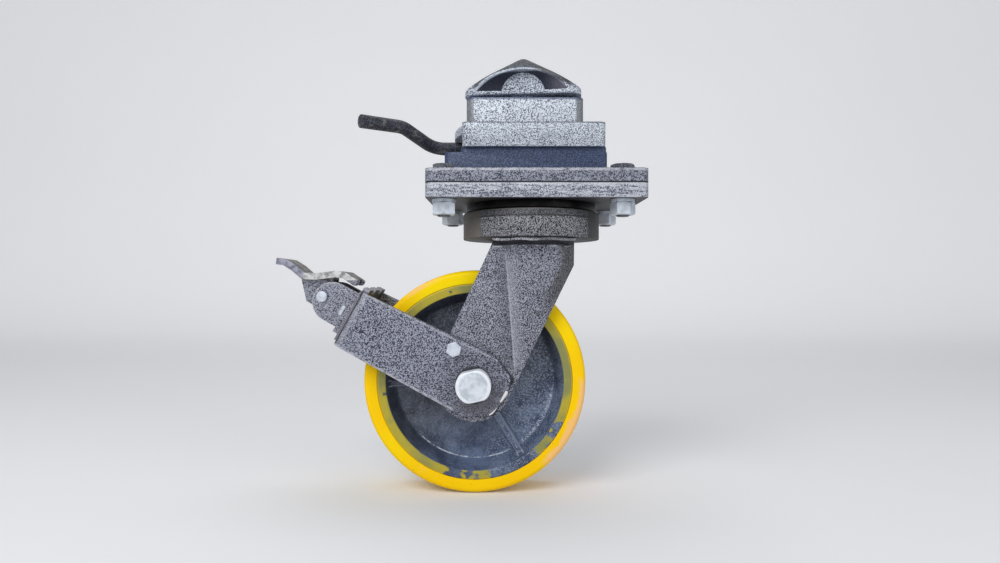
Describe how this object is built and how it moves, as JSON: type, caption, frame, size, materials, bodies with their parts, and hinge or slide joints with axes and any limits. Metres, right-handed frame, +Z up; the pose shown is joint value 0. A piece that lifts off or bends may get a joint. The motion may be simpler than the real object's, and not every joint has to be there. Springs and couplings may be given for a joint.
{
  "type": "container caster",
  "caption": "Heavy swivel caster with a yellow tread, pedal brake and a lever-turned twist lock that fastens it in a container corner.",
  "frame": {"origin": "middle of the locating collar, on the shoulder face that bears against the container's corner casting", "axes": "+Z up along the lock shaft, +X along the collar away from the lever, +Y away from the side the picture shows"},
  "size_m": [0.3326, 0.14, 0.3987],
  "materials": {
    "hammer_paint": "silver and black hammered paint, satin",
    "zinc": "zinc plated, slightly frosted",
    "steel": "bare machined steel, oiled",
    "cast_core": "raw casting, blue grey, fine grained",
    "yellow_tread": "cast polyurethane, satin",
    "seal_rubber": "matt black"
  },
  "bodies": {
    "mount": {"lock_block": "hammer_paint", "lock_body": "hammer_paint", "lock_plate": "hammer_paint", "lock_thrust_washer": "steel", "caster_plate": "hammer_paint", "plate_bolts": "hammer_paint", "plate_spring_washers": "zinc", "plate_nuts": "zinc", "upper_race": "hammer_paint", "kingpin": "steel", "kingpin_washer": "steel", "kingpin_nut": "steel"},
    "lock": {"lock_head": "hammer_paint", "lock_lever": "hammer_paint", "lock_shaft_nut": "steel"},
    "fork": {"fork_crown": "hammer_paint", "swivel_balls": "steel", "fork_leg_near": "hammer_paint", "fork_leg_far": "hammer_paint", "fork_welds": "hammer_paint", "axle": "zinc", "axle_washer": "zinc", "axle_nut": "zinc", "axle_sleeve": "steel", "axle_spacers": "steel", "bearing_inner_rings": "steel", "brake_frame": "hammer_paint", "frame_bolts": "zinc", "brake_bracket": "hammer_paint", "brake_guide_bar": "zinc", "brake_pivot": "zinc"},
    "wheel": {"wheel_core": "cast_core", "wheel_tread": "yellow_tread", "bearing_outer_rings": "steel", "bearing_seals": "seal_rubber", "bearing_balls": "steel"},
    "pedal": {"brake_pedal": "hammer_paint"},
    "shoe": {"brake_shoe": "hammer_paint"}
  },
  "joints": [
    {"name": "swivel", "type": "hinge", "parent": "mount", "child": "fork", "pos_m": [0.0064, 0, -0.08], "axis": [0, 0, 1], "continuous": true},
    {"name": "wheel_spin", "type": "hinge", "parent": "fork", "child": "wheel", "pos_m": [-0.0456, 0, -0.2327], "axis": [0, 1, 0], "continuous": true},
    {"name": "lock_turn", "type": "hinge", "parent": "mount", "child": "lock", "pos_m": [0, 0, 0], "axis": [0, 0, -1], "range_deg": [-6.5, 83.5]},
    {"name": "pedal_turn", "type": "hinge", "parent": "fork", "child": "pedal", "pos_m": [-0.1863, 0, -0.15548], "axis": [0, -1, 0], "range_deg": [0, 28]},
    {"name": "shoe_slide", "type": "slide", "parent": "fork", "child": "shoe", "axis": [0.8766, 0, -0.4811], "range_m": [0, 0.00243]}
  ],
  "couplings": [
    {"joint": "shoe_slide", "follows": "pedal_turn", "m_per_rad": 0.00495}
  ]
}
